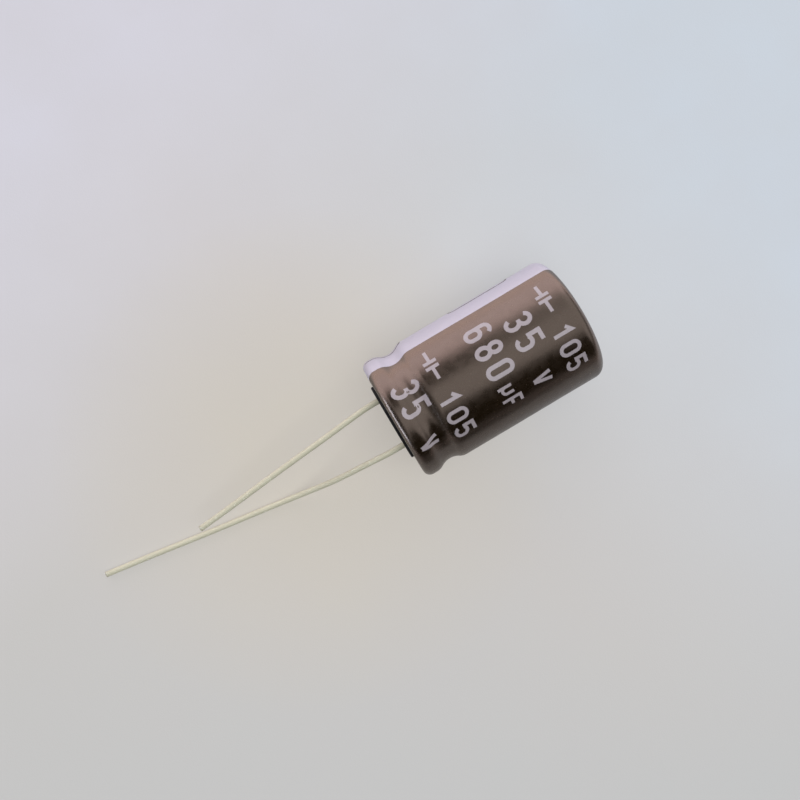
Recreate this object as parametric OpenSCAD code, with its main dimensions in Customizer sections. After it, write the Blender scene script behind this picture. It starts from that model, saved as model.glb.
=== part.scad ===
// Radial aluminium electrolytic capacitor, 12.5 mm by 20 mm, lying on its side.
// +X runs along the case from the lead end to the head, and +Z is up.
// The origin is the centre of the rubber's seating face, where a board would meet it.
// The negative lead is on the +Y side, under the stripe.

/* [Can] */
// Diameter of the bare can
can_d = 12.5; // [11:0.5:18]
// Length of the can, from its curled rim to its head
can_len = 20; // [18:0.5:40]
// Wall of the drawn can
can_wall = 0.35; // [0.25:0.05:0.45]
// Corner radius between the can's side and its head
head_r = 0.8; // [0.5:0.1:1.5]
// Corner radius of the curled rim
curl_r = 0.6; // [0.5:0.05:0.7]
// How far the curled rim reaches in over the rubber
rim_reach = 2.15; // [1.8:0.05:2.4]

/* [Bead] */
// Distance from the curled rim to the middle of the bead
bead_pos = 2.7; // [2.5:0.1:2.9]
// Width of the bead
bead_w = 3.4; // [2.8:0.1:3.6]
// Depth of the bead
bead_depth = 0.5; // [0.3:0.05:0.7]
// Radius of the bead's two shoulders
bead_shoulder_r = 1.2; // [0.8:0.1:1.4]

/* [Vent] */
// Length of each score of the pressure vent on the head
vent_len = 7; // [5:0.5:8]
// Width of a score
vent_w = 0.3; // [0.2:0.05:0.4]
// Depth of a score
vent_depth = 0.12; // [0.08:0.02:0.2]

/* [Sleeve] */
// Thickness of the shrunk sleeve
sleeve_t = 0.2; // [0.1:0.05:0.25]
// How far the sleeve reaches in over the head
sleeve_head_reach = 1.65; // [1.3:0.05:2.4]
// How far the sleeve reaches in over the curled rim
sleeve_base_reach = 1.35; // [1.1:0.05:1.7]

/* [Rubber] */
// Height of the rubber, from its seating face to its inner face
bung_h = 4.8; // [4.6:0.1:5.4]
// How far the seating face stands out of the sleeve
bung_proud = 0.25; // [0.15:0.05:0.5]
// Rounding of the seating face's edge
bung_edge = 0.12; // [0.05:0.01:0.2]

/* [Leads] */
// Distance between the two leads where they leave the rubber
lead_pitch = 5; // [4.6:0.1:5.4]
// Diameter of a lead
lead_d = 0.6; // [0.5:0.05:0.8]
// Inner radius of a lead's bends
lead_bend_r = 3; // [1:0.5:4]
// Straight length of a lead before its first bend
lead_out = 1.6; // [1.2:0.1:2]
// Distance from the seating face to the tip of the negative lead
negative_reach = 22.2; // [18:0.2:26]
// Sideways place of the negative lead's tip
negative_tip_y = 0.55; // [0.3:0.05:1]
// How far the negative lead's tip hangs below the case's axis
negative_drop = 3; // [2:0.2:3.6]
// Distance from the seating face to the middle bend of the positive lead
positive_knee = 7.8; // [6:0.2:9]
// Distance from the seating face to where the positive lead meets the table
positive_touch = 13; // [12:0.5:16]
// Distance from the seating face to the tip of the positive lead
positive_reach = 33.9; // [28:0.5:40]
// Sideways place where the positive lead meets the table
positive_touch_y = -1.7; // [-2:0.1:-1.4]
// Sideways place of the positive lead's tip
positive_tip_y = 1.4; // [1:0.1:2]

/* [Tabs] */
// Diameter of a tab's round part, which seals in the rubber
tab_d = 2; // [1.6:0.1:2.4]
// Depth of the weld between lead and tab, from the seating face
weld_depth = 1.4; // [1.2:0.1:2]
// How far the round part stands out of the rubber's inner face
tab_stand = 0.15; // [0.1:0.05:0.25]
// Length over which a tab is pressed flat
tab_neck = 0.5; // [0.4:0.05:0.55]
// Thickness of a tab's flat blade
tab_t = 0.25; // [0.2:0.05:0.35]
// Width of the blade
tab_w = 1.6; // [1.2:0.1:1.8]
// Length of the blade inside the winding
tab_blade = 10; // [7:0.5:11]
// Diameter of the holes where a blade is stitched to its foil
stitch_d = 0.5; // [0.3:0.1:0.8]

/* [Winding] */
// Thickness of the etched anode foil, as drawn
anode_t = 0.16; // [0.14:0.01:0.2]
// Thickness of the cathode foil, as drawn
cathode_t = 0.12; // [0.1:0.01:0.16]
// Thickness of one separator paper, as drawn
paper_t = 0.1; // [0.08:0.01:0.12]
// Thickness of the tape round the winding
tape_t = 0.06; // [0.04:0.01:0.1]
// Width of the tape
tape_w = 7; // [5:0.5:9]
// Smallest core left by the winding spindle
core_d = 1.3; // [1:0.1:1.5]
// How far the papers stand out beyond the foils at each end
paper_margin = 0.7; // [0.4:0.1:1]
// Space between the rubber and the papers
winding_base_gap = 0.9; // [0.8:0.05:1.2]
// Space between the papers and the inside of the head
winding_head_gap = 0.6; // [0.4:0.1:1]
// Space between the winding and the can's wall
winding_side_gap = 0.15; // [0.1:0.05:0.3]

/* [Clearances] */
// Gap between the sleeve and the can
sleeve_gap = 0.02; // [0.01:0.01:0.05]
// Gap between the rubber and the can, and round leads and tabs in the rubber
seal_gap = 0.02; // [0.01:0.01:0.05]
// Gap between the rubber's boss and the curled rim
rim_gap = 0.1; // [0.05:0.01:0.15]
// Gap between the layers of the winding
layer_gap = 0.01; // [0.01:0.005:0.02]

/* [Hidden] */

$fn = 96;
ROUND_STEPS = 6;
EPS = 0.01;

// The two scores of the vent cross at the middle of the head.
VENT_ANGLES = [45, 135];

// A blade is stitched at even steps along the foil, and its end has cut corners.
STITCHES = 4;
blade_cut = tab_w / 4;

// A wire's run laps into its bends, which are thicker by so little that nothing shows.
RUN_LAP = 0.04;
BEND_SWELL = 0.002;

// Heights along the case are measured from the seating face.
can_r = can_d / 2;
can_base = bung_proud + sleeve_t + sleeve_gap;
can_top = can_base + can_len;
sleeve_r = can_r + sleeve_gap + sleeve_t;
rim_r = can_r - rim_reach;
bead_h = can_base + bead_pos;

// Each shoulder of the bead runs into its floor where both slope by bead_slope.
bead_slope = 2 * atan(2 * bead_depth / bead_w);
bead_r_sum = bead_w / 2 / sin(bead_slope);
bead_floor_r = bead_r_sum - bead_shoulder_r;

// The table is the plane that the sleeve lies on.
lead_r = lead_d / 2;
on_table = lead_r - sleeve_r;
knee_share = (positive_knee - lead_out) / (positive_touch - lead_out);
positive_knee_z = on_table * knee_share;
positive_knee_y = -lead_pitch / 2 - knee_share ^ 2 * (-lead_pitch / 2 - positive_touch_y);

// The winding's four strips, from inside out: anode, paper, cathode, paper.
STEP = 15;
anode_at = 0;
inner_paper_at = anode_t + layer_gap;
cathode_at = inner_paper_at + paper_t + layer_gap;
outer_paper_at = cathode_at + cathode_t + layer_gap;
layer_pitch = outer_paper_at + paper_t + layer_gap;

// The spiral is placed so that the anode foil passes just under the positive blade.
NEGATIVE_SIDE = 90;
POSITIVE_SIDE = 270;
positive_seat = lead_pitch / 2 - tab_t / 2 - layer_gap;
turns_inside = floor((positive_seat - anode_t - core_d / 2) / layer_pitch - POSITIVE_SIDE / 360);
spiral_start = positive_seat - anode_t - layer_pitch * (turns_inside + POSITIVE_SIDE / 360);
negative_seat = spiral_start + layer_pitch * (turns_inside + NEGATIVE_SIDE / 360) + cathode_at + cathode_t;

// Over a blade, every layer outside it bulges by this much.
blade_corner = atan(tab_w / 2 / positive_seat);
bulge_h = norm([positive_seat + 2 * layer_gap + tab_t, tab_w / 2]) / cos(STEP / 2) - positive_seat
    + layer_pitch * blade_corner / 360 + 2 * layer_gap;
BULGE_END = 75;

// The winding ends at the last step that leaves room for bulge, tape and side gap.
cavity_r = can_r - can_wall;
wound_r = cavity_r - winding_side_gap - tape_t - bulge_h;
spiral_end = STEP * floor((wound_r - layer_pitch - spiral_start) / layer_pitch * 360 / STEP);

// The papers start first and end last. The foils lie inside them, and the tape laps the papers' end.
anode_start = 3 * STEP;
cathode_start = STEP;
anode_end = spiral_end - 180;
cathode_end = spiral_end - 60;
tape_start = spiral_end - 345;
paper_base = bung_h + winding_base_gap;
paper_top = can_top - can_wall - winding_head_gap;

function arc(centre, r, from, to) =
    [for (i = [0:ROUND_STEPS]) let (a = from + (to - from) * i / ROUND_STEPS) centre + r * [cos(a), sin(a)]];

// Section of the case, as [radius, height], moved outwards by d from the bare can's skin.
function case_line(d, head_reach, base_reach) = concat(
    [[head_reach, can_top + d]],
    arc([can_r - head_r, can_top - head_r], head_r + d, 90, 0),
    arc([can_r - bead_shoulder_r, bead_h + bead_w / 2], bead_shoulder_r + d, 0, -bead_slope),
    arc([can_r - bead_shoulder_r + bead_r_sum * cos(bead_slope), bead_h],
        bead_floor_r - d, 180 - bead_slope, 180 + bead_slope),
    arc([can_r - bead_shoulder_r, bead_h - bead_w / 2], bead_shoulder_r + d, bead_slope, 0),
    arc([can_r - curl_r, can_base + curl_r], curl_r + d, 0, -90),
    [[base_reach, can_base - d]]
);

function reversed(points) = [for (i = [len(points) - 1:-1:0]) points[i]];

// A bulge is full over its blade and fades out before BULGE_END.
function bulge_share(away) =
    let (flat = blade_corner + STEP)
    away <= flat ? 1 : away >= BULGE_END ? 0 : 0.5 + 0.5 * cos(180 * (away - flat) / (BULGE_END - flat));

// order counts the strips from 0 for the anode foil, and blade_order is the strip under the blade.
function bulge(angle, order, side, blade_order) =
    let (turn = round((angle - side) / 360), away = abs(angle - side - 360 * turn))
    turn + order / 4 > turns_inside + (blade_order + 0.5) / 4 ? bulge_h * bulge_share(away) : 0;

function spiral_r(angle, offset, order) =
    spiral_start + layer_pitch * angle / 360 + offset
    + bulge(angle, order, POSITIVE_SIDE, 0) + bulge(angle, order, NEGATIVE_SIDE, 2);

function spiral_line(from, to, offset, order) =
    [for (a = [from:STEP:to]) spiral_r(a, offset, order) * [cos(a), sin(a)]];

// Turns the case's own axis, +Z, to +X. Its +Y stays.
module lay_down() {
    rotate([0, 90, 0]) children();
}

module strip(from, to, offset, order, thickness, base, top) {
    inner = spiral_line(from, to, offset, order);
    outer = spiral_line(from, to, offset + thickness, order);
    lay_down() translate([0, 0, base])
        linear_extrude(top - base) polygon(concat(inner, reversed(outer)));
}

// Straight round wire from a to b.
module wire_run(a, b) {
    way = b - a;
    translate(a) rotate([0, acos(way.z / norm(way)), atan2(way.y, way.x)]) cylinder(d = lead_d, h = norm(way));
}

// Length that a bend takes from each of the two runs that meet in it.
function bend_cut(u, v) = (lead_bend_r + lead_r) * tan(acos(u * v) / 2);

function unit(v) = v / norm(v);

// Round bend at the corner p, between the directions u and v. It takes in the ends of both runs.
module wire_bend(p, u, v) {
    r = lead_bend_r + lead_r;
    n = unit(v - (u * v) * u);
    up = cross(u, n);
    c = p - bend_cut(u, v) * u + r * n;
    multmatrix([[-n.x, u.x, up.x, c.x], [-n.y, u.y, up.y, c.y], [-n.z, u.z, up.z, c.z], [0, 0, 0, 1]])
        rotate_extrude(angle = acos(u * v)) translate([r, 0]) circle(r = lead_r + BEND_SWELL, $fn = 48);
}

// Wire along a route: runs between the corners, and a bend at each inner corner.
module wire(route) {
    last = len(route) - 1;
    ways = [for (i = [0:last - 1]) unit(route[i + 1] - route[i])];
    for (i = [0:last - 1]) {
        cut_a = i == 0 ? 0 : bend_cut(ways[i - 1], ways[i]) - RUN_LAP;
        cut_b = i == last - 1 ? 0 : bend_cut(ways[i], ways[i + 1]) - RUN_LAP;
        wire_run(route[i] + cut_a * ways[i], route[i + 1] - cut_b * ways[i]);
    }
    for (i = [1:last - 1])
        wire_bend(route[i], ways[i - 1], ways[i]);
}

// Tab on the side s, +1 or -1 along Y, with its blade on the foil at seat.
module tab(s, seat) {
    neck = bung_h + tab_stand;
    blade_y = seat + layer_gap + tab_t / 2;
    blade_end = paper_base + tab_blade;
    side_view = [
        [weld_depth, lead_pitch / 2 - tab_d], [neck, lead_pitch / 2 - tab_d],
        [neck, lead_pitch / 2 - tab_d / 2], [neck + tab_neck, blade_y - tab_t / 2],
        [blade_end, blade_y - tab_t / 2], [blade_end, blade_y + tab_t / 2],
        [neck + tab_neck, blade_y + tab_t / 2], [neck, lead_pitch / 2 + tab_d / 2],
        [neck, lead_pitch / 2 + tab_d], [weld_depth, lead_pitch / 2 + tab_d]
    ];
    blade_view = [
        [neck + tab_neck, -tab_w / 2], [blade_end - blade_cut, -tab_w / 2], [blade_end, blade_cut - tab_w / 2],
        [blade_end, tab_w / 2 - blade_cut], [blade_end - blade_cut, tab_w / 2], [neck + tab_neck, tab_w / 2]
    ];
    color([0.80, 0.81, 0.82]) mirror([0, s < 0 ? 1 : 0, 0])
        difference() {
            intersection() {
                translate([0, 0, -tab_d]) linear_extrude(2 * tab_d) polygon(side_view);
                union() {
                    translate([weld_depth, lead_pitch / 2, 0]) rotate([0, 90, 0])
                        cylinder(d = tab_d, h = neck + tab_neck - weld_depth);
                    rotate([90, 0, 0]) translate([0, 0, -lead_pitch]) linear_extrude(lead_pitch) polygon(blade_view);
                }
            }
            for (i = [1:STITCHES])
                translate([paper_base + tab_blade * i / (STITCHES + 1), 0, 0])
                    rotate([-90, 0, 0]) cylinder(d = stitch_d, h = lead_pitch, $fn = 24);
        }
}

module can() {
    outer = case_line(0, 0, rim_r);
    inner = case_line(-can_wall, 0, rim_r);
    color([0.78, 0.79, 0.80]) difference() {
        lay_down() rotate_extrude() polygon(concat(outer, reversed(inner)));
        for (a = VENT_ANGLES)
            translate([can_top, 0, 0]) rotate([a, 0, 0]) linear_extrude(vent_len, center = true)
                polygon([[-vent_depth, 0], [vent_depth, vent_w], [vent_depth, -vent_w]]);
    }
}

module sleeve() {
    head_edge = sleeve_r - sleeve_head_reach;
    base_edge = sleeve_r - sleeve_base_reach;
    outer = case_line(sleeve_gap + sleeve_t, head_edge, base_edge);
    inner = case_line(sleeve_gap, head_edge, base_edge);
    color([0.24, 0.19, 0.17]) lay_down() rotate_extrude() polygon(concat(outer, reversed(inner)));
}

module rubber_bung() {
    boss_r = rim_r - rim_gap;
    body = case_line(-can_wall - seal_gap, 0, 0);
    boss = [[0, 0], [boss_r - bung_edge, 0], [boss_r, bung_edge], [boss_r, bead_h], [0, bead_h]];
    color([0.09, 0.09, 0.09]) lay_down() difference() {
        union() {
            intersection() {
                rotate_extrude() polygon(body);
                cylinder(r = can_r, h = bung_h);
            }
            rotate_extrude() polygon(boss);
        }
        for (s = [-1, 1])
            translate([0, s * lead_pitch / 2, 0]) {
                translate([0, 0, -EPS]) cylinder(d = lead_d + 2 * seal_gap, h = weld_depth + 2 * EPS, $fn = 48);
                translate([0, 0, weld_depth]) cylinder(d = tab_d + 2 * seal_gap, h = bung_h, $fn = 48);
            }
    }
}

module positive_lead() {
    color([0.80, 0.79, 0.72]) wire([
        [weld_depth, -lead_pitch / 2, 0],
        [-lead_out, -lead_pitch / 2, 0],
        [-positive_knee, positive_knee_y, positive_knee_z],
        [-positive_touch, positive_touch_y, on_table],
        [-positive_reach, positive_tip_y, on_table]
    ]);
}

module negative_lead() {
    color([0.80, 0.79, 0.72]) wire([
        [weld_depth, lead_pitch / 2, 0],
        [-lead_out, lead_pitch / 2, 0],
        [-negative_reach, negative_tip_y, -negative_drop]
    ]);
}

module positive_tab() {
    tab(-1, positive_seat);
}

module negative_tab() {
    tab(1, negative_seat);
}

module anode_foil() {
    color([0.55, 0.56, 0.58])
        strip(anode_start, anode_end, anode_at, 0, anode_t, paper_base + paper_margin, paper_top - paper_margin);
}

module inner_separator() {
    color([0.86, 0.80, 0.66])
        strip(0, spiral_end, inner_paper_at, 1, paper_t, paper_base, paper_top);
}

module cathode_foil() {
    color([0.70, 0.71, 0.72])
        strip(cathode_start, cathode_end, cathode_at, 2, cathode_t, paper_base + paper_margin, paper_top - paper_margin);
}

module outer_separator() {
    color([0.88, 0.82, 0.68])
        strip(0, spiral_end, outer_paper_at, 3, paper_t, paper_base, paper_top);
}

module fixing_tape() {
    middle = (paper_base + paper_top) / 2;
    color([0.80, 0.72, 0.48])
        strip(tape_start, spiral_end, layer_pitch, 3, tape_t, middle - tape_w / 2, middle + tape_w / 2);
}

can();
sleeve();
rubber_bung();
positive_lead();
negative_lead();
positive_tab();
negative_tab();
anode_foil();
cathode_foil();
inner_separator();
outer_separator();
fixing_tape();
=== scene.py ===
"""Looks of a radial electrolytic capacitor: its printed sleeve, rubber seal and tinned leads.

The case lies along X with its lead end at the origin and its head at +X. Z is up.
Lengths are in millimetres until a mesh is made, and angles are in degrees.
"""

import math

import bpy
from mathutils import Matrix, Vector, noise
from mathutils.geometry import delaunay_2d_cdt


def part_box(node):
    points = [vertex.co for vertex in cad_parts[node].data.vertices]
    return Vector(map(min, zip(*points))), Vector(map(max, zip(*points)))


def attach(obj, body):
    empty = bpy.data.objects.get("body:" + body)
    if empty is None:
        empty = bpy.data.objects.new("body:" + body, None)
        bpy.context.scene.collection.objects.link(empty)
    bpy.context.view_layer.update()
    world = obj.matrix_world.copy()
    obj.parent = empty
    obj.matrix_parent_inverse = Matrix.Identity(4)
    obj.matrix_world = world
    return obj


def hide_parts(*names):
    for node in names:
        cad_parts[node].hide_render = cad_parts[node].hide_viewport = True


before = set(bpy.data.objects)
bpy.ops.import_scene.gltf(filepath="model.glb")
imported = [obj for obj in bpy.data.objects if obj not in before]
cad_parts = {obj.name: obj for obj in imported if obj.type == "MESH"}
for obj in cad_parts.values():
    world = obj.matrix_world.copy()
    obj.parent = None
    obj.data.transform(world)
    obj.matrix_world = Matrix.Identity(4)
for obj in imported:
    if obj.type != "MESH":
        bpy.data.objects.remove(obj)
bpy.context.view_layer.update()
MM = 0.001

# The case, as in the part's source.
SLEEVE_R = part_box("sleeve")[1].y / MM
HEAD_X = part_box("sleeve")[1].x / MM
BASE_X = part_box("sleeve")[0].x / MM
FILM = 0.2
HEAD_ROUND = 1.02
BASE_ROUND = 0.82
HEAD_REACH = 1.65
BASE_REACH = 1.35
BEAD_X = BASE_X + 2.92
BEAD_W = 3.4
BEAD_DEPTH = 0.5
BEAD_SHOULDER = 1.42

# The seal and the leads, as in the part's source.
SEAL_R = 4.0
SEAL_H = 4.8
SEAL_EDGE = 0.12
CAN_WALL = 0.39
LEAD_R = 0.3
LEAD_PITCH = 5
WELD_X = 1.4
TAB_HOLE_R = 1.02
ON_TABLE = LEAD_R - SLEEVE_R
POSITIVE_ROUTE = [(1.4, -2.5, 0), (-1.6, -2.5, 0), (-7.8, -2.26, -3.36),
                  (-13, -1.7, ON_TABLE), (-33.9, 1.4, ON_TABLE)]
POSITIVE_BENDS = [3.5, 60, 8]
NEGATIVE_ROUTE = [(1.4, 2.5, 0), (-1.6, 2.5, 0), (-22.2, 0.55, -3)]
NEGATIVE_BENDS = [10]

# The camera looks almost straight down on the seal's end of the case.
CAMERA_PLACE = (0.69, 2.7, 90.24)
CAMERA_ROLL = 30.7
CAMERA_TILT_X = 0.77
CAMERA_TILT_Y = 0.77
SENSOR = 36
LENS = 41.09


# Small mesh and curve tools

def arc(cx, cy, rx, ry, start, end, steps):
    """Points on an arc of an ellipse, in degrees."""
    turns = [math.radians(start + (end - start) * i / steps) for i in range(steps + 1)]
    return [(cx + rx * math.cos(t), cy + ry * math.sin(t)) for t in turns]


def spread(points, step):
    """The same line with no stretch longer than step."""
    out = [points[0]]
    for a, b in zip(points, points[1:]):
        parts = max(1, math.ceil(math.dist(a, b) / step))
        out += [tuple(p + (q - p) * k / parts for p, q in zip(a, b)) for k in range(1, parts + 1)]
    return out


def smooth_step(x):
    x = min(1.0, max(0.0, x))
    return x * x * (3 - 2 * x)


def mesh_object(name, points, faces, materials, face_material=None, smooth=True):
    """A mesh from points in millimetres. face_material gives each face's material by its number."""
    mesh = bpy.data.meshes.new(name)
    mesh.from_pydata([[c * MM for c in p] for p in points], [], faces)
    for m in materials:
        mesh.materials.append(m)
    if face_material:
        mesh.polygons.foreach_set("material_index", face_material)
    mesh.polygons.foreach_set("use_smooth", [smooth] * len(mesh.polygons))
    mesh.update()
    made = bpy.data.objects.new(name, mesh)
    bpy.context.scene.collection.objects.link(made)
    return made


def on_case(x, radius, angle):
    """The point at x along the case, at that radius and angle from the top towards +Y."""
    a = math.radians(angle)
    return (x, radius * math.sin(a), radius * math.cos(a))


# Materials

class Finish:
    """A Principled material, with textures in the object's own millimetres."""

    def __init__(self, name, color, roughness, metallic=0.0, ior=1.5):
        self.material = bpy.data.materials.new(name)
        self.material.use_nodes = True
        self.tree = self.material.node_tree
        self.shader = self.tree.nodes["Principled BSDF"]
        self.shader.inputs["Base Color"].default_value = (*color, 1)
        self.shader.inputs["Roughness"].default_value = roughness
        self.shader.inputs["Metallic"].default_value = metallic
        self.shader.inputs["IOR"].default_value = ior
        self.color = color
        self.height = None
        place = self.node("ShaderNodeTexCoord")
        self.millimetres = self.node("ShaderNodeVectorMath", operation="SCALE")
        self.millimetres.inputs["Scale"].default_value = 1 / MM
        self.link(place.outputs["Object"], self.millimetres.inputs[0])

    def node(self, kind, **settings):
        made = self.tree.nodes.new(kind)
        for key, value in settings.items():
            setattr(made, key, value)
        return made

    def link(self, a, b):
        self.tree.links.new(a, b)

    def math(self, operation, a, b):
        made = self.node("ShaderNodeMath", operation=operation)
        for socket, value in zip(made.inputs, (a, b)):
            if isinstance(value, (int, float)):
                socket.default_value = value
            else:
                self.link(value, socket)
        return made.outputs[0]

    def between(self, value, low, high):
        """0 at low and 1 at high."""
        fit = self.node("ShaderNodeMapRange")
        fit.inputs["From Min"].default_value = low
        fit.inputs["From Max"].default_value = high
        self.link(value, fit.inputs["Value"])
        return fit.outputs[0]

    def stretched(self, factors):
        """Millimetre coordinates, scaled by one factor for each axis."""
        made = self.node("ShaderNodeVectorMath", operation="MULTIPLY")
        made.inputs[1].default_value = factors
        self.link(self.millimetres.outputs[0], made.inputs[0])
        return made.outputs[0]

    def noise(self, per_mm, detail=3, roughness=0.5, factors=(1, 1, 1), low=0.3, high=0.7):
        """Noise from 0 to 1 with about per_mm grains a millimetre."""
        made = self.node("ShaderNodeTexNoise")
        made.inputs["Scale"].default_value = per_mm
        made.inputs["Detail"].default_value = detail
        made.inputs["Roughness"].default_value = roughness
        self.link(self.stretched(factors), made.inputs["Vector"])
        return self.between(made.outputs["Fac"], low, high)

    def tint(self, share, color, strength=1.0):
        """Mixes color over what the base colour has so far, by share times strength."""
        mix = self.node("ShaderNodeMix", data_type="RGBA")
        socket = self.shader.inputs["Base Color"]
        if socket.is_linked:
            self.link(socket.links[0].from_socket, mix.inputs["A"])
        else:
            mix.inputs["A"].default_value = (*self.color, 1)
        mix.inputs["B"].default_value = (*color, 1)
        self.link(self.math("MULTIPLY", share, strength), mix.inputs["Factor"])
        self.link(mix.outputs["Result"], socket)
        return self

    def gloss(self, share, low, high):
        """Roughness from low to high as share goes from 0 to 1."""
        fit = self.node("ShaderNodeMapRange")
        fit.inputs["To Min"].default_value = low
        fit.inputs["To Max"].default_value = high
        self.link(share, fit.inputs["Value"])
        self.link(fit.outputs[0], self.shader.inputs["Roughness"])
        return self

    def relief(self, share, depth):
        """Raises the surface by depth millimetres where share is 1."""
        raised = self.math("MULTIPLY", share, depth * MM)
        if self.height is None:
            self.bump = self.node("ShaderNodeBump")
            self.bump.inputs["Distance"].default_value = 1.0
            self.link(self.bump.outputs[0], self.shader.inputs["Normal"])
            self.height = raised
        else:
            self.height = self.math("ADD", self.height, raised)
        self.link(self.height, self.bump.inputs["Height"])
        return self


def sleeve_film():
    """Thin brown film over a bright can: its reflections are strong, and brown too."""
    made = Finish("sleeve_film_brown", (0.0062, 0.0032, 0.0009), 0.3, ior=2.0)
    made.shader.inputs["Specular Tint"].default_value = (1.0, 0.8, 0.69, 1)
    made.tint(made.noise(0.35, detail=4), (0.0098, 0.0054, 0.002), 0.6)
    made.tint(made.noise(9, detail=2, low=0.55, high=0.75), (0.025, 0.016, 0.009), 0.1)
    made.gloss(made.noise(1.4, detail=5), 0.23, 0.32)
    made.relief(made.noise(1.1, detail=1, low=0.1, high=0.9), 0.006)
    made.relief(made.noise(5, detail=1, low=0.1, high=0.9), 0.0008)
    return made.material


def ink(name, color):
    made = Finish(name, color, 0.4, ior=1.8)
    made.tint(made.noise(0.5, detail=4), tuple(c * 0.92 for c in color), 0.6)
    made.tint(made.noise(7, detail=3, low=0.5, high=0.8), tuple(c * 0.8 for c in color), 0.3)
    made.gloss(made.noise(3, detail=4), 0.36, 0.48)
    made.relief(made.noise(12, detail=3), 0.0008)
    return made.material


def seal_rubber():
    made = Finish("seal_rubber_black", (0.0095, 0.0095, 0.01), 0.85, ior=1.4)
    made.shader.inputs["Specular IOR Level"].default_value = 0.25
    made.tint(made.noise(1.1, detail=5), (0.019, 0.019, 0.0195), 0.6)
    made.tint(made.noise(22, detail=2, low=0.6, high=0.75), (0.05, 0.05, 0.05), 0.2)
    made.gloss(made.noise(2.5, detail=4), 0.78, 0.92)
    made.relief(made.noise(7, detail=5), 0.008)
    return made.material


def tinned_wire():
    made = Finish("tinned_wire_pale", (0.62, 0.61, 0.475), 0.6, metallic=0.1)
    made.tint(made.noise(0.6, detail=5), (0.57, 0.56, 0.435), 0.6)
    made.tint(made.noise(5, detail=3, low=0.5, high=0.8), (0.52, 0.51, 0.395), 0.3)
    made.gloss(made.noise(2, detail=4), 0.55, 0.7)
    made.relief(made.noise(6, detail=3, factors=(0.06, 1, 1)), 0.0015)
    made.relief(made.noise(2, detail=3), 0.001)
    return made.material


def bare_aluminium():
    made = Finish("bare_aluminium_drawn", (0.80, 0.80, 0.81), 0.3, metallic=1.0)
    parts = made.node("ShaderNodeSeparateXYZ")
    made.link(made.millimetres.outputs[0], parts.inputs[0])
    y2 = made.math("MULTIPLY", parts.outputs["Y"], parts.outputs["Y"])
    z2 = made.math("MULTIPLY", parts.outputs["Z"], parts.outputs["Z"])
    radius = made.math("SQRT", made.math("ADD", y2, z2), 0)
    rings = made.node("ShaderNodeTexNoise", noise_dimensions="1D")
    rings.inputs["Scale"].default_value = 9
    rings.inputs["Detail"].default_value = 4
    made.link(radius, rings.inputs["W"])
    made.tint(made.noise(0.8, detail=5), (0.66, 0.66, 0.67), 0.5)
    made.tint(rings.outputs["Fac"], (0.62, 0.62, 0.63), 0.4)
    made.gloss(made.noise(4, detail=4), 0.3, 0.42)
    made.relief(rings.outputs["Fac"], 0.003)
    made.relief(made.noise(5, detail=1, low=0.1, high=0.9), 0.002)
    return made.material


def tab_aluminium():
    made = Finish("tab_aluminium_pressed", (0.82, 0.82, 0.83), 0.25, metallic=1.0)
    made.tint(made.noise(1.5, detail=4), (0.68, 0.68, 0.69), 0.5)
    made.gloss(made.noise(5, detail=3, factors=(0.15, 1, 1)), 0.2, 0.4)
    made.relief(made.noise(8, detail=3, factors=(0.1, 1, 1)), 0.003)
    return made.material


def foil(name, color, pits):
    made = Finish(name, color, 0.6, metallic=0.9)
    made.tint(made.noise(14, detail=4), pits, 0.7)
    made.tint(made.noise(0.5, detail=3), tuple(c * 0.8 for c in color), 0.5)
    made.gloss(made.noise(6, detail=3), 0.5, 0.7)
    made.relief(made.noise(20, detail=4), 0.004)
    return made.material


def separator_paper():
    made = Finish("separator_paper_soaked", (0.66, 0.55, 0.36), 0.55)
    made.tint(made.noise(3, detail=5, factors=(0.3, 1, 1)), (0.74, 0.65, 0.47), 0.7)
    made.tint(made.noise(0.25, detail=3), (0.5, 0.4, 0.24), 0.5)
    made.gloss(made.noise(1.5, detail=3), 0.4, 0.7)
    made.relief(made.noise(10, detail=5, factors=(0.4, 1, 1)), 0.01)
    return made.material


def winding_tape():
    made = Finish("winding_tape_amber", (0.55, 0.38, 0.12), 0.22, ior=1.48)
    made.tint(made.noise(0.7, detail=4), (0.62, 0.47, 0.2), 0.6)
    made.gloss(made.noise(3, detail=3), 0.15, 0.32)
    made.relief(made.noise(2.5, detail=3), 0.006)
    return made.material


BROWN = sleeve_film()
STRIPE_INK = ink("stripe_ink_lilac", (0.51, 0.495, 0.595))
PRINT_INK = ink("print_ink_lilac", (0.35, 0.314, 0.342))
RUBBER = seal_rubber()
WIRE = tinned_wire()
TAB = tab_aluminium()
PAPER = separator_paper()
NODE_FINISH = {
    "can": bare_aluminium(),
    "positive_tab": TAB,
    "negative_tab": TAB,
    "anode_foil": foil("etched_foil_grey", (0.42, 0.43, 0.45), (0.25, 0.25, 0.27)),
    "cathode_foil": foil("cathode_foil_matt", (0.62, 0.62, 0.63), (0.45, 0.45, 0.46)),
    "inner_separator": PAPER,
    "outer_separator": PAPER,
    "fixing_tape": winding_tape(),
}
for node_name, finish in NODE_FINISH.items():
    node_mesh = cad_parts[node_name].data
    node_mesh.materials.clear()
    node_mesh.materials.append(finish)


# Sleeve: a film of one section all round, with puckered edges and a barely uneven skin

SKIN_DROP = 0.014
UNEVEN = 0.02
UNEVEN_ALONG = 0.16
UNEVEN_ROUND = 1.1
UNEVEN_GAIN = 1.6
PUCKER = 0.07
PUCKER_AT_HEAD = (0.35, 1.15)
PUCKER_AT_BASE = (0.08, 0.95)
PLEATS_ROUND = 4.2
PLEATS_APART = 7
PLEAT_GAIN = 1.3
EDGE_WAVE = 0.1
COLUMNS = 360
STRIPE_FROM = 53
STRIPE_TO = 127


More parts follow.
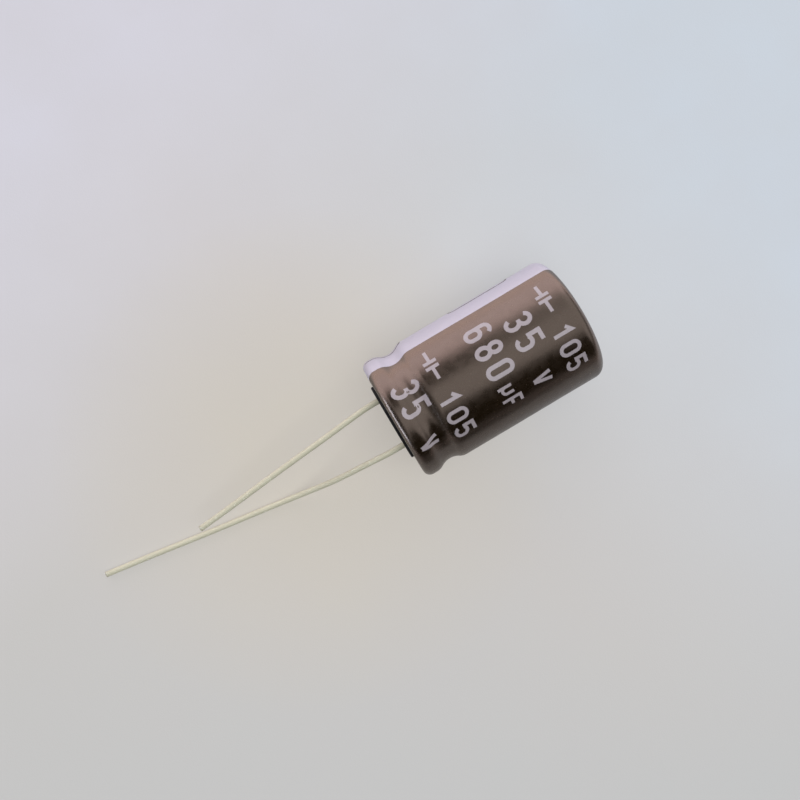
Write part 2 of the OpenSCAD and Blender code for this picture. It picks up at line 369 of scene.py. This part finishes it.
def side_line(drop, step):
    """Section of the film as (radius, x), from the head's edge to the base's.

    It lies drop below the outside, and no stretch of it is longer than step.
    """
    slope = 2 * math.degrees(math.atan(2 * BEAD_DEPTH / BEAD_W))
    radius_sum = BEAD_W / 2 / math.sin(math.radians(slope))
    shoulder_at = SLEEVE_R - BEAD_SHOULDER
    floor_at = shoulder_at + radius_sum * math.cos(math.radians(slope))
    floor_r = radius_sum - BEAD_SHOULDER + drop
    shoulder_r = BEAD_SHOULDER - drop
    head, base = HEAD_ROUND - drop, BASE_ROUND - drop
    line = [(SLEEVE_R - HEAD_REACH, HEAD_X - drop)]
    line += arc(SLEEVE_R - HEAD_ROUND, HEAD_X - HEAD_ROUND, head, head, 90, 0, 12)
    line += arc(shoulder_at, BEAD_X + BEAD_W / 2, shoulder_r, shoulder_r, 0, -slope, 8)
    line += arc(floor_at, BEAD_X, floor_r, floor_r, 180 - slope, 180 + slope, 16)[1:]
    line += arc(shoulder_at, BEAD_X - BEAD_W / 2, shoulder_r, shoulder_r, slope, 0, 8)[1:]
    line += arc(SLEEVE_R - BASE_ROUND, BASE_X + BASE_ROUND, base, base, 0, -90, 12)
    line += [(SLEEVE_R - BASE_REACH, BASE_X + drop)]
    return spread(line, step)


OUTSIDE = side_line(SKIN_DROP, 0.25)
INSIDE = side_line(FILM, 0.6)


def uneven(x, angle):
    """How far the skin lies below its section at that place, from 0 to UNEVEN."""
    at = Vector(on_case(x * UNEVEN_ALONG, UNEVEN_ROUND, angle))
    return UNEVEN * (0.5 + 0.5 * max(-1.0, min(1.0, UNEVEN_GAIN * noise.noise(at))))


def pucker_share(radius, end):
    """0 on the side and up to 1 at the edge that lies over that end."""
    start, reach = PUCKER_AT_HEAD if end > 0 else PUCKER_AT_BASE
    return smooth_step((SLEEVE_R - start - radius) / reach)


def pleat(angle, end):
    """Folds round an end from -1 to 1, none the same as the next."""
    at = Vector(on_case(PLEATS_APART * end, PLEATS_ROUND, angle))
    return max(-1.0, min(1.0, PLEAT_GAIN * noise.noise(at)))


def film_point(radius, x, angle, outside):
    end = 1 if x > (HEAD_X + BASE_X) / 2 else -1
    share = pucker_share(radius, end)
    fold = pleat(angle, end)
    depth = 0
    if outside:
        radius -= uneven(x, angle)
        depth = share * PUCKER * (0.5 + 0.5 * fold)
    return on_case(x - end * depth, radius + share * EDGE_WAVE * fold, angle)


def film_edge(x_outside, x_inside, radius, steps=5):
    """The film's rounded cut edge, from its outside to its inside."""
    middle, half = (x_outside + x_inside) / 2, (x_outside - x_inside) / 2
    turns = [math.pi * i / steps for i in range(1, steps)]
    return [(radius - abs(half) * math.sin(t), middle + half * math.cos(t)) for t in turns]


def printed_sleeve():
    base_edge = film_edge(OUTSIDE[-1][1], INSIDE[-1][1], OUTSIDE[-1][0])
    head_edge = film_edge(OUTSIDE[0][1], INSIDE[0][1], OUTSIDE[0][0])[::-1]
    section = [(r, x, True) for r, x in OUTSIDE]
    section += [(r, x, False) for r, x in base_edge + INSIDE[::-1] + head_edge]
    rows = len(section)
    points = [film_point(r, x, 360 * c / COLUMNS, out) for c in range(COLUMNS) for r, x, out in section]
    faces, paint = [], []
    for c in range(COLUMNS):
        a, b = c * rows, (c + 1) % COLUMNS * rows
        on_stripe = STRIPE_FROM <= 360 * (c + 0.5) / COLUMNS <= STRIPE_TO
        for i in range(rows):
            j = (i + 1) % rows
            faces.append((a + i, a + j, b + j, b + i))
            paint.append(1 if on_stripe and i < len(OUTSIDE) + 2 else 0)
    return mesh_object("printed_sleeve", points, faces, [BROWN, STRIPE_INK], paint)


def skin_radius(x, angle):
    """Radius of the sleeve's printed side at x."""
    for (r0, x0), (r1, x1) in zip(OUTSIDE, OUTSIDE[1:]):
        if x1 <= x <= x0 and x0 > x1:
            return r0 + (r1 - r0) * (x0 - x) / (x0 - x1) - uneven(x, angle)
    raise ValueError(f"no side at x {x}")


# Print: strokes of one width, laid on the sleeve. Its own axes run right and up, as it is read.

STROKE = 0.42
SMALL_STROKE = 0.36
INK_LIFT = 0.012
INK_SINK = 0.004
PRINT_GRID = 0.22


def zero(w, h):
    r = w / 2
    return [arc(r, h - r, r, r, 180, 0, 18) + arc(r, r, r, r, 0, -180, 18) + [(0, h - r)]]


def three(w, h):
    middle = 0.53 * h
    return [arc(w / 2, (h + middle) / 2, w / 2, (h - middle) / 2, 160, -90, 24) + [(w * 0.3, middle)],
            [(w * 0.3, middle)] + arc(w / 2, middle / 2, w / 2, middle / 2, 90, -160, 24)]


def five(w, h):
    r, top = w / 2, 0.6 * h
    bowl = arc(r, top - r, r, r, 140, 0, 15) + arc(r, r, r, r, 0, -160, 17)
    return [[(w, h), (0, h), (0, top - r * 0.55)], bowl]


def six(w, h):
    r, top = w / 2, 0.58 * h
    return [arc(r, h - r, r, r, 30, 180, 16) + [(0, r)],
            arc(r, top - r, r, r, 180, 0, 18) + arc(r, r, r, r, 0, -180, 18) + [(0, top - r)]]


def eight(w, h):
    middle, inset = 0.53 * h, 0.06 * w
    upper = arc(w / 2, (h + middle) / 2, w / 2 - inset, (h - middle) / 2, 90, -270, 36)
    lower = arc(w / 2, middle / 2, w / 2, middle / 2, 90, -270, 36)
    return [upper, lower]


def one(w, h):
    return [[(w * 0.1, h * 0.76), (w * 0.62, h), (w * 0.62, 0)]]


def letter_f(w, h):
    return [[(0, 0), (0, h), (w, h)], [(0, h * 0.5), (w * 0.85, h * 0.5)]]


def letter_v(w, h):
    foot = 0.06 * w
    return [[(0, h), (w / 2 - foot, 0)], [(w / 2 + foot, 0), (w, h)]]


def micro(w, h):
    r = w / 2
    return [[(0, -h * 0.35), (0, h)], arc(r, r, r, r, 180, 360, 14) + [(w, h)]]


def capacitor_sign(w, h):
    left, right, middle = w * 0.41, w * 0.59, h / 2
    return [[(0, middle), (left, middle)], [(left, 0), (left, h)],
            [(right, 0), (right, h)], [(right, middle), (w, middle)]]


def cut_mark(w, h):
    r = MARK_ROUND
    return [[(0, 0)] + arc(r, h - r, r, r, 180, 90, 6) + arc(w - r, h - r, r, r, 90, 0, 6) + [(w, 0)]]


def long_mark(w, h):
    r = MARK_ROUND
    upper = arc(r, h - r, r, r, 180, 90, 6) + arc(w - r, h - r, r, r, 90, 0, 6)
    lower = arc(w - r, r, r, r, 0, -90, 6) + arc(r, r, r, r, 270, 180, 6)
    return [upper + lower + upper[:1]]


def stroke_quads(line, width):
    """Four-cornered stretches of a line of that width, with mitred corners."""
    closed = math.dist(line[0], line[-1]) < 1e-6
    pts = [Vector(p) for p in line]
    if closed:
        pts = pts[:-1]
    count = len(pts)
    sides = []
    for i, p in enumerate(pts):
        before = (p - pts[i - 1]).normalized() if closed or i else None
        after = (pts[(i + 1) % count] - p).normalized() if closed or i < count - 1 else None
        before, after = before or after, after or before
        along = (before + after).normalized()
        across = Vector((-along.y, along.x))
        reach = width / 2 / max(0.35, across.dot(Vector((-after.y, after.x))))
        sides.append((p + across * reach, p - across * reach))
    pairs = zip(sides, sides[1:] + sides[:1]) if closed else zip(sides, sides[1:])
    return [[a[0], a[1], b[1], b[0]] for a, b in pairs]


def glyph_quads(shape, right, up, width, height, stroke):
    """The quads of one sign whose ink fills the box from (right, up), width by height."""
    lines = shape(width - stroke, height - stroke)
    shift = Vector((right + stroke / 2, up + stroke / 2))
    return [[corner + shift for corner in quad] for line in lines for quad in stroke_quads(line, stroke)]


def joined(quads):
    """The quads as one flat triangle mesh with a grid of points fine enough to bend round the case."""
    corners = [c for quad in quads for c in quad]
    low = [min(c[k] for c in corners) - 0.1 for k in (0, 1)]
    high = [max(c[k] for c in corners) + 0.1 for k in (0, 1)]
    points, edges, faces = [], [], []
    for quad in quads:
        faces.append(list(range(len(points), len(points) + 4)))
        points += quad
    for k in (0, 1):
        for i in range(1, int((high[k] - low[k]) / PRINT_GRID) + 1):
            at = low[k] + i * PRINT_GRID
            edges.append((len(points), len(points) + 1))
            if k == 0:
                points += [Vector((at, low[1])), Vector((at, high[1]))]
            else:
                points += [Vector((low[0], at)), Vector((high[0], at))]
    made, _, triangles, _, _, inside = delaunay_2d_cdt(points, edges, faces, 0, 1e-5, True)
    return made, [t for t, owners in zip(triangles, inside) if owners]


def laid_ink(name, signs, materials):
    """A thin closed layer of ink on the sleeve.

    Each sign is (quads, x of its foot, arc length of its left side).
    """
    points, faces = [], []
    for quads, foot_x, left_arc in signs:
        flat, triangles = joined(quads)
        used = sorted({v for t in triangles for v in t})
        number = {v: i for i, v in enumerate(used)}
        first, count = len(points), len(used)
        for lift in (INK_LIFT, -INK_SINK):
            for v in used:
                x = foot_x + flat[v].y
                angle = math.degrees((left_arc - flat[v].x) / SLEEVE_R)
                points.append(on_case(x, skin_radius(x, angle) + lift, angle))
        sides = {}
        for t in triangles:
            ring = [first + number[v] for v in t]
            faces.append(tuple(ring))
            faces.append(tuple(v + count for v in reversed(ring)))
            for a, b in zip(ring, ring[1:] + ring[:1]):
                sides[(a, b)] = True
        for a, b in sides:
            if (b, a) not in sides:
                faces.append((b, a, a + count, b + count))
    return mesh_object(name, points, faces, materials, smooth=False)


def word(shapes, width, pitch, height, stroke):
    """Signs side by side as one list of quads, read from left to right."""
    quads = []
    for i, shape in enumerate(shapes):
        quads += glyph_quads(shape, i * pitch, 0, width, height, stroke)
    return quads


# Places of the print, as x along the case and as arc length from the top towards the stripe.
PERIOD = 12.15
DIGIT_W = 1.42
DIGIT_H = 2.86
DIGIT_PITCH = 2.07
LETTER_H = 2.2
CAPACITY_X = 9.76
CAPACITY_ARC = 4.11
MICRO_ARC = CAPACITY_ARC - 6.42
MICRO_UP = 0.45
MICRO_W = 1.0
MICRO_H = 1.35
MICRO_STROKE = 0.3
FARAD_ARC = CAPACITY_ARC - 7.8
FARAD_W = 1.05
FARAD_STROKE = 0.32
VOLTAGE_X = 13.44
VOLTAGE_ARC = 2.98
VOLT_X = VOLTAGE_X - 0.25
VOLT_ARC = -3.06
VOLT_W = 1.2
SIGN_X = 17.25
SIGN_ARC = 4.77
SIGN_W = 3.5
SIGN_H = 1.68
SIGN_STROKE = 0.34
HEAT_X = 16.75
HEAT_ARC = -0.05
HEAT_W = 1.32
HEAT_PITCH = 1.74
MARK_X = 10.2
MARK_W = 3.05
MARK_H = 6.7
MARK_STROKE = 0.2
MARK_ROUND = 0.6
LOW_MARK_X = 0.6
MARK_ARC = math.radians((STRIPE_FROM + STRIPE_TO) / 2) * SLEEVE_R


def rating_print():
    capacity = word([six, eight, zero], DIGIT_W, DIGIT_PITCH, DIGIT_H, STROKE)
    micro_sign = glyph_quads(micro, 0, MICRO_UP, MICRO_W, MICRO_H, MICRO_STROKE)
    farad = glyph_quads(letter_f, 0, 0, FARAD_W, LETTER_H, FARAD_STROKE)
    voltage = word([three, five], DIGIT_W, DIGIT_PITCH, DIGIT_H, STROKE)
    volt = glyph_quads(letter_v, 0, 0, VOLT_W, LETTER_H, SMALL_STROKE)
    plates = glyph_quads(capacitor_sign, 0, 0, SIGN_W, SIGN_H, SIGN_STROKE)
    heat = word([one, zero, five], HEAT_W, HEAT_PITCH, LETTER_H, SMALL_STROKE)
    signs = [(capacity, CAPACITY_X, CAPACITY_ARC)]
    signs += [(micro_sign, CAPACITY_X, MICRO_ARC), (farad, CAPACITY_X, FARAD_ARC)]
    for x in (0, -PERIOD):
        signs += [(voltage, VOLTAGE_X + x, VOLTAGE_ARC), (volt, VOLT_X + x, VOLT_ARC)]
        signs += [(plates, SIGN_X + x, SIGN_ARC), (heat, HEAT_X + x, HEAT_ARC)]
    return laid_ink("rating_print", signs, [PRINT_INK])


def minus_marks():
    """Long outlined bars down the middle of the stripe. The lower one runs into the bead and stays open."""
    left = MARK_ARC + MARK_W / 2
    low_h = MARK_X - PERIOD + MARK_H - LOW_MARK_X
    marks = [
        (glyph_quads(long_mark, 0, 0, MARK_W, MARK_H, MARK_STROKE), MARK_X, left),
        (glyph_quads(cut_mark, 0, 0, MARK_W, low_h, MARK_STROKE), LOW_MARK_X, left),
    ]
    return laid_ink("minus_marks", marks, [BROWN])


# Rubber seal

SEAL_DISH = 0.02
SEAL_DISH_R = 3.2
SEAL_FLAT = 0.35
SEAL_NECK = 0.62
SEAL_WALL_FROM = 0.75
SEAL_INNER_EDGE = 0.1
BEAD_REACH = 1.3
HOLE_GAP = 0.02
HOLE_MOUTH = [(0.22, -1), (0.22, 0.0), (0.1, 0.05), (0, 0.16)]


def lathe(name, section, columns, material, middle=(0, 0)):
    """A closed solid turned round X from (radius, x) points that start and end on its axis."""
    rings = [p for p in section if p[0] > 0]
    points = [(x, middle[0] + r * math.sin(t), middle[1] + r * math.cos(t))
              for c in range(columns) for t in [2 * math.pi * c / columns] for r, x in rings]
    rows = len(rings)
    ends = [len(points), len(points) + 1]
    points += [(section[0][1], *middle), (section[-1][1], *middle)]
    faces = []
    for c in range(columns):
        a, b = c * rows, (c + 1) % columns * rows
        faces += [(a + i, a + i + 1, b + i + 1, b + i) for i in range(rows - 1)]
        faces.append((ends[0], a, b))
        faces.append((ends[1], b + rows - 1, a + rows - 1))
    return mesh_object(name, points, faces, [material])


def rubber_seal():
    """A turned plug that fills the beaded can, with a stepped hole for each lead and its tab."""
    section = [(0, SEAL_DISH), (SEAL_DISH_R, SEAL_DISH), (SEAL_R - SEAL_FLAT, 0)]
    section += arc(SEAL_R - SEAL_EDGE, SEAL_EDGE, SEAL_EDGE, SEAL_EDGE, -90, 0, 6)
    in_can = side_line(FILM + CAN_WALL, 0.4)[::-1]
    wall = [(r, x) for r, x in in_can if 0 < x < SEAL_H and r > SLEEVE_R - BEAD_REACH]
    section += [(SEAL_R, BASE_X + SEAL_NECK)]
    section += [(r, x) for r, x in wall if x > BASE_X + SEAL_WALL_FROM]
    section += [(wall[-1][0] - SEAL_INNER_EDGE, SEAL_H), (0, SEAL_H)]
    made = lathe("rubber_seal", spread(section, 0.3), 160, RUBBER)
    hole_r = LEAD_R + HOLE_GAP
    hole = [(0, -1)] + [(hole_r + wider, x) for wider, x in HOLE_MOUTH] + [(hole_r, WELD_X)]
    hole += [(TAB_HOLE_R, WELD_X), (TAB_HOLE_R, SEAL_H + 1), (0, SEAL_H + 1)]
    for side in (-1, 1):
        cutter = lathe("cutter", hole, 48, RUBBER, (side * LEAD_PITCH / 2, 0))
        cut = made.modifiers.new("hole", "BOOLEAN")
        cut.operation = "DIFFERENCE"
        cut.solver = "EXACT"
        cut.object = cutter
        apply_modifiers(made)
        bpy.data.objects.remove(cutter)
    return made


def apply_modifiers(made):
    bpy.context.view_layer.update()
    shown = made.evaluated_get(bpy.context.evaluated_depsgraph_get())
    mesh = bpy.data.meshes.new_from_object(shown)
    made.modifiers.clear()
    made.data = mesh


# Leads

WIRE_SIDES = 28
WIRE_STEP = 0.35
WAVER = 0.02
WAVER_FROM = 4
WAVER_GROWS = 6
WAVER_TURNS = 0.42
SHEAR_LENGTH = 0.35
SHEAR_PINCH = 0.2


def rounded_route(route, bends):
    """The route's points with an arc at each inner corner, of that corner's radius in bends."""
    pts = [Vector(p) for p in route]
    line = [pts[0]]
    for before, corner, after, bend in zip(pts, pts[1:], pts[2:], bends):
        u, v = (corner - before).normalized(), (after - corner).normalized()
        turn = u.angle(v)
        cut = bend * math.tan(turn / 2)
        inward = (v - u.dot(v) * u).normalized()
        centre = corner - cut * u + bend * inward
        steps = max(4, math.ceil(math.degrees(turn) / 4))
        for t in (turn * i / steps for i in range(steps + 1)):
            line.append(centre + bend * (math.sin(t) * u - math.cos(t) * inward))
    return line + [pts[-1]]


def wire(name, route, bends, seed):
    """A drawn wire along the route. It wavers a little in the open, and its tip was sheared off."""
    line = [Vector(p) for p in spread([tuple(p) for p in rounded_route(route, bends)], WIRE_STEP)]
    free = sum((b - a).length for a, b in zip(line, line[1:]))
    gone = 0.0
    points, faces = [], []
    for i, p in enumerate(line):
        if i:
            gone += (p - line[i - 1]).length
        along = (line[min(i + 1, len(line) - 1)] - line[max(i - 1, 0)]).normalized()
        side = along.cross(Vector((0, 0, 1))).normalized()
        up = side.cross(along)
        loose = smooth_step((gone - WAVER_FROM) / WAVER_GROWS)
        sway = loose * WAVER * math.sin(gone * WAVER_TURNS + seed) * side
        for k in range(WIRE_SIDES):
            turn = 2 * math.pi * k / WIRE_SIDES
            from_tip = (free - gone) / SHEAR_LENGTH
            pinch = 1 - SHEAR_PINCH * (1 - smooth_step(from_tip)) * abs(math.sin(turn)) ** 2
            points.append(p + sway + LEAD_R * (math.cos(turn) * side + pinch * math.sin(turn) * up))
    rings = len(line)
    for i in range(rings - 1):
        a, b = i * WIRE_SIDES, (i + 1) * WIRE_SIDES
        for k in range(WIRE_SIDES):
            n = (k + 1) % WIRE_SIDES
            faces.append((a + k, a + n, b + n, b + k))
    faces.append(tuple(reversed(range(WIRE_SIDES))))
    faces.append(tuple((rings - 1) * WIRE_SIDES + k for k in range(WIRE_SIDES)))
    return mesh_object(name, points, faces, [WIRE])


sleeve = printed_sleeve()
rating = rating_print()
minus = minus_marks()
seal = rubber_seal()
positive_wire = wire("positive_wire", POSITIVE_ROUTE, POSITIVE_BENDS, 0.4)
negative_wire = wire("negative_wire", NEGATIVE_ROUTE, NEGATIVE_BENDS, 2.1)

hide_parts("sleeve")
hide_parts("rubber_bung")
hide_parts("positive_lead")
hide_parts("negative_lead")
for piece, finish_slot in (
    (sleeve, "sleeve_film"), (rating, "sleeve_film"), (minus, "sleeve_film"), (seal, "seal_rubber"),
    (positive_wire, "tinned_wire"), (negative_wire, "tinned_wire"),
):
    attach(piece, "root")


# Stage: a pale floor, and a room with a window on the stripe's side and a pale ceiling along the case

FLOOR_REACH = 3000
FLOOR_GAP = 0.002

# Colours run along FLOOR_TOWARD, with painted light: paler and bluer towards +X. A tint has its direction,
# the reach over which it comes in, and its colour: painted light, paler and lilac towards +Y, greyer towards
# -Y.
FLOOR_COLORS_WITH_PAINTED_LIGHT = [(0.0, (0.588, 0.578, 0.56)), (0.5, (0.625, 0.60, 0.58)), (1.0, (0.605, 0.665, 0.735))]
FLOOR_TOWARD = (0.97, 0.25, 0)
FLOOR_FADE = 45
FLOOR_PAINTED_LIGHT_TINTS = [
    ((-0.25, 0.97, 0), (12, 48), (0.67, 0.665, 0.735)),
    ((-0.4, -0.92, 0), (8, 44), (0.555, 0.565, 0.565)),
]
FLOOR_FLECKS = (0.58, 0.56, 0.56)

# A painted warm light round the leads. Beyond FAR the floor turns to the backdrop's colour.
WARM_AT = (-10, 1, -6.5)
WARM_FADE = (27, 6)
PAINTED_WARM_LIGHT = (0.62, 0.585, 0.522)
FAR = (120, 700)

# The floor's own brightness, which it gives off. Reflections see it dimmer, with a painted sheen of the
# window on it and a painted dark reflection past -45 mm at -Y.
FLOOR_OWN = 0.62
FLOOR_MIRRORED = 0.65
PAINTED_SHEEN = 5.0
PAINTED_SHEEN_TINT = (0.62, 0.51, 0.48)
SHEEN_FROM = (8, 45)
SHEEN_FROM_ENDS = (22, 50)
SHEEN_ENDS = 0.35
# Painted dark reflection, seen only in reflections, and the Y over which it comes in.
DARK_REFLECTION_FROM = (-45, -60)
PAINTED_DARK_REFLECTION = (0.03, 0.03, 0.03)

# The room. Its reaches are parts of a direction along X, Y and Z, and HORIZON_BAND is in degrees.
MIRROR_GAIN = 1.5
ROOM_DIM = (0.008, 0.0075, 0.0053)
CEILING = (0.72, 0.72, 0.72)
CEILING_ACROSS = (-0.5, -0.36, 0.25, 0.38)
CEILING_ENDS = (0.1, 0.27)
CEILING_SHIFT = 0.05
CEILING_WRAP = 0.5
CEILING_PAST_BASE = (-0.7, -0.12)
CEILING_LEAST = 0.15
CEILING_FROM = (0.1, 0.4)
WINDOW = (1.74, 1.54, 1.6)
WINDOW_SIDE = (0.70, 0.92)
WINDOW_WRAP = 0.35
WINDOW_SILL = (-0.04, 0.05)
BACKDROP = (0.66, 0.655, 0.68)
HORIZON = (0.4, 0.39, 0.4)
HORIZON_BAND = (4, 1)
FILL = {"at": (30, -110, 520), "size": (420, 360), "watts": 1.5, "color": (1.0, 1.0, 1.0)}
LOW_LIGHT = (5.2, 6.0, 7.2)
LOW_LIGHT_X = (-0.45, -0.7)
LOW_LIGHT_Y = (0.5, 0.35)
LOW_LIGHT_Z = (-0.02, 0.01, 0.12, 0.26)


def floor():
    """A pale table that gives off FLOOR_OWN of its brightness, and all of it far off.

    That keeps the case's shadow as faint as the photo's and joins the table to the backdrop.
    Reflections see a painted sheen of the window on it at +Y, and a painted dark reflection of the room on
    it past -45 mm at -Y.
    """
    paper = Finish("pale_table", (0.6, 0.59, 0.6), 0.6)
    paper.shader.inputs["Specular IOR Level"].default_value = 0.2
    toward = paper.node("ShaderNodeVectorMath", operation="DOT_PRODUCT")
    toward.inputs[1].default_value = FLOOR_TOWARD
    paper.link(paper.millimetres.outputs[0], toward.inputs[0])
    # The ramp paints light on the floor: paler and bluer towards +X.
    ramp = paper.node("ShaderNodeValToRGB")
    ramp.color_ramp.elements.new(0.5)
    for element, (place, color) in zip(ramp.color_ramp.elements, FLOOR_COLORS_WITH_PAINTED_LIGHT):
        element.position = place
        element.color = (*color, 1)
    paper.link(paper.between(toward.outputs["Value"], -FLOOR_FADE, FLOOR_FADE), ramp.inputs[0])
    paper.link(ramp.outputs[0], paper.shader.inputs["Base Color"])
    # Painted light: paler and lilac towards +Y, greyer towards -Y.
    for direction, reach, color in FLOOR_PAINTED_LIGHT_TINTS:
        along = paper.node("ShaderNodeVectorMath", operation="DOT_PRODUCT")
        along.inputs[1].default_value = direction
        paper.link(paper.millimetres.outputs[0], along.inputs[0])
        paper.tint(paper.between(along.outputs["Value"], *reach), color)
    off = paper.node("ShaderNodeVectorMath", operation="DISTANCE")
    off.inputs[1].default_value = WARM_AT
    paper.link(paper.millimetres.outputs[0], off.inputs[0])
    # Painted warm light round the leads.
    paper.tint(paper.between(off.outputs["Value"], *WARM_FADE), PAINTED_WARM_LIGHT)
    paper.tint(paper.noise(0.12, detail=5), FLOOR_FLECKS, 0.15)
    far = paper.between(off.outputs["Value"], *FAR)
    paper.tint(far, BACKDROP)
    across = paper.node("ShaderNodeSeparateXYZ")
    paper.link(paper.millimetres.outputs[0], across.inputs[0])
    ray = paper.node("ShaderNodeLightPath").outputs
    # Painted dark reflection: only reflections see the floor dark past -45 mm at -Y.
    dark_reflection_share = paper.between(across.outputs["Y"], *DARK_REFLECTION_FROM)
    paper.tint(paper.math("MULTIPLY", ray["Is Glossy Ray"], dark_reflection_share), PAINTED_DARK_REFLECTION)
    paper.relief(paper.noise(6, detail=4), 0.004)
    # Painted sheen: where only reflections see it, the floor glows brighter and pinker towards +Y and far
    # along X.
    past_ends = paper.between(paper.math("ABSOLUTE", across.outputs["X"], 0), *SHEEN_FROM_ENDS)
    painted_sheen = paper.between(across.outputs["Y"], *SHEEN_FROM)
    painted_sheen = paper.math("MAXIMUM", painted_sheen, paper.math("MULTIPLY", past_ends, SHEEN_ENDS))
    painted_sheen = paper.math("MULTIPLY", ray["Is Glossy Ray"], painted_sheen)
    paper.tint(painted_sheen, PAINTED_SHEEN_TINT)
    own = paper.node("ShaderNodeEmission")
    paper.link(paper.shader.inputs["Base Color"].links[0].from_socket, own.inputs["Color"])
    dimmer = paper.math("MULTIPLY", ray["Is Glossy Ray"], FLOOR_MIRRORED - 1)
    strength = paper.math("ADD", paper.math("MULTIPLY", painted_sheen, PAINTED_SHEEN), paper.math("ADD", dimmer, 1))
    paper.link(strength, own.inputs["Strength"])
    seen = paper.math("MAXIMUM", ray["Is Camera Ray"], ray["Is Glossy Ray"])
    seen = paper.math("MAXIMUM", seen, ray["Is Transmission Ray"])
    mix = paper.node("ShaderNodeMixShader")
    own_share = paper.math("MAXIMUM", far, FLOOR_OWN)
    paper.link(paper.math("MULTIPLY", seen, own_share), mix.inputs[0])
    paper.link(paper.shader.outputs[0], mix.inputs[1])
    paper.link(own.outputs[0], mix.inputs[2])
    paper.link(mix.outputs[0], paper.tree.nodes["Material Output"].inputs["Surface"])
    signs = ((-1, -1), (1, -1), (1, 1), (-1, 1))
    corners = [(x * FLOOR_REACH, y * FLOOR_REACH, -SLEEVE_R - FLOOR_GAP) for x, y in signs]
    mesh_object("floor", corners, [(0, 1, 2, 3)], [paper.material])


def soft_light(name, plan):
    lamp = bpy.data.lights.new(name, "AREA")
    lamp.shape = "RECTANGLE"
    lamp.size, lamp.size_y = (s * MM for s in plan["size"])
    lamp.energy = plan["watts"]
    lamp.color = plan["color"]
    made = bpy.data.objects.new(name, lamp)
    made.location = Vector(plan["at"]) * MM
    made.rotation_euler = (-Vector(plan["at"])).to_track_quat("-Z", "Y").to_euler()
    made.visible_camera = False
    bpy.context.scene.collection.objects.link(made)
    return made


def room():
    """The world: a dim room with a window, a ceiling that runs along the case and a low light past its base.

    Reflections show them MIRROR_GAIN times as bright as their light is on matt surfaces.
    The camera sees a plain pale backdrop, and so do reflections near the horizon.
    """
    world = bpy.data.worlds.new("room")
    bpy.context.scene.world = world
    world.use_nodes = True
    tree = world.node_tree

    def node(kind, inputs, **settings):
        made = tree.nodes.new(kind)
        for key, value in settings.items():
            setattr(made, key, value)
        for socket, value in inputs.items():
            if isinstance(value, bpy.types.NodeSocket):
                tree.links.new(value, made.inputs[socket])
            else:
                made.inputs[socket].default_value = value
        return made.outputs[2] if kind == "ShaderNodeMix" else made.outputs[0]

    def rise(value, low, high, least=0.0):
        ends = {"Value": value, "From Min": low, "From Max": high, "To Min": least}
        return node("ShaderNodeMapRange", ends, interpolation_type="SMOOTHSTEP")

    def combine(operation, a, b):
        return node("ShaderNodeMath", {0: a, 1: b}, operation=operation)

    def mixed(share, a, b, blend="MIX"):
        colors = {6: a if isinstance(a, bpy.types.NodeSocket) else (*a, 1), 7: (*b, 1)}
        return node("ShaderNodeMix", {0: share, **colors}, data_type="RGBA", blend_type=blend)

    place = tree.nodes.new("ShaderNodeTexCoord")
    parts = tree.nodes.new("ShaderNodeSeparateXYZ")
    tree.links.new(place.outputs["Generated"], parts.inputs[0])
    x, y, z = parts.outputs
    ray = tree.nodes.new("ShaderNodeLightPath")
    start, full, fading, end = CEILING_ACROSS
    ends = rise(combine("ABSOLUTE", combine("ADD", x, CEILING_SHIFT), 0), *CEILING_ENDS)
    near = combine("ADD", y, combine("MULTIPLY", combine("ABSOLUTE", x, 0), CEILING_WRAP))
    ceiling = combine("MULTIPLY", rise(near, start, full), combine("MAXIMUM", rise(y, end, fading), ends))
    ceiling = combine("MULTIPLY", ceiling, rise(z, *CEILING_FROM))
    ceiling = combine("MULTIPLY", ceiling, rise(x, *CEILING_PAST_BASE, CEILING_LEAST))
    toward = combine("ADD", y, combine("MULTIPLY", combine("ABSOLUTE", x, 0), WINDOW_WRAP))
    window = combine("MULTIPLY", rise(toward, *WINDOW_SIDE), rise(z, *WINDOW_SILL))
    gain = combine("ADD", combine("MULTIPLY", ray.outputs["Is Glossy Ray"], MIRROR_GAIN - 1), 1)
    walls = mixed(window, mixed(ceiling, ROOM_DIM, CEILING), WINDOW)
    bottom, over, under, top = LOW_LIGHT_Z
    low = combine("MULTIPLY", rise(z, bottom, over), rise(z, top, under))
    low = combine("MULTIPLY", rise(x, *LOW_LIGHT_X), low)
    low = combine("MULTIPLY", low, rise(combine("ABSOLUTE", y, 0), *LOW_LIGHT_Y))
    walls = mixed(combine("MULTIPLY", low, ray.outputs["Is Glossy Ray"]), walls, LOW_LIGHT)
    walls = node("ShaderNodeVectorMath", {"Vector": walls, "Scale": gain}, operation="SCALE")
    horizon = rise(z, *[math.sin(math.radians(a)) for a in HORIZON_BAND])
    mirrored = combine("MULTIPLY", ray.outputs["Is Glossy Ray"], horizon)
    shown = mixed(mirrored, walls, HORIZON, "LIGHTEN")
    seen = combine("MAXIMUM", ray.outputs["Is Camera Ray"], ray.outputs["Is Transmission Ray"])
    tree.links.new(mixed(seen, shown, BACKDROP), tree.nodes["Background"].inputs["Color"])


def camera():
    lens = bpy.data.cameras.new("camera")
    lens.sensor_width = SENSOR
    lens.lens = LENS
    lens.clip_start = 0.001
    made = bpy.data.objects.new("camera", lens)
    turn = Matrix.Rotation(math.radians(CAMERA_ROLL), 4, "Z")
    turn = turn @ Matrix.Rotation(math.radians(CAMERA_TILT_X), 4, "X")
    turn = turn @ Matrix.Rotation(math.radians(CAMERA_TILT_Y), 4, "Y")
    made.matrix_world = Matrix.Translation(Vector(CAMERA_PLACE) * MM) @ turn.transposed()
    bpy.context.scene.collection.objects.link(made)
    bpy.context.scene.camera = made


floor()
soft_light("fill", FILL).visible_glossy = False
room()
camera()
bpy.context.scene.view_settings.view_transform = "Standard"
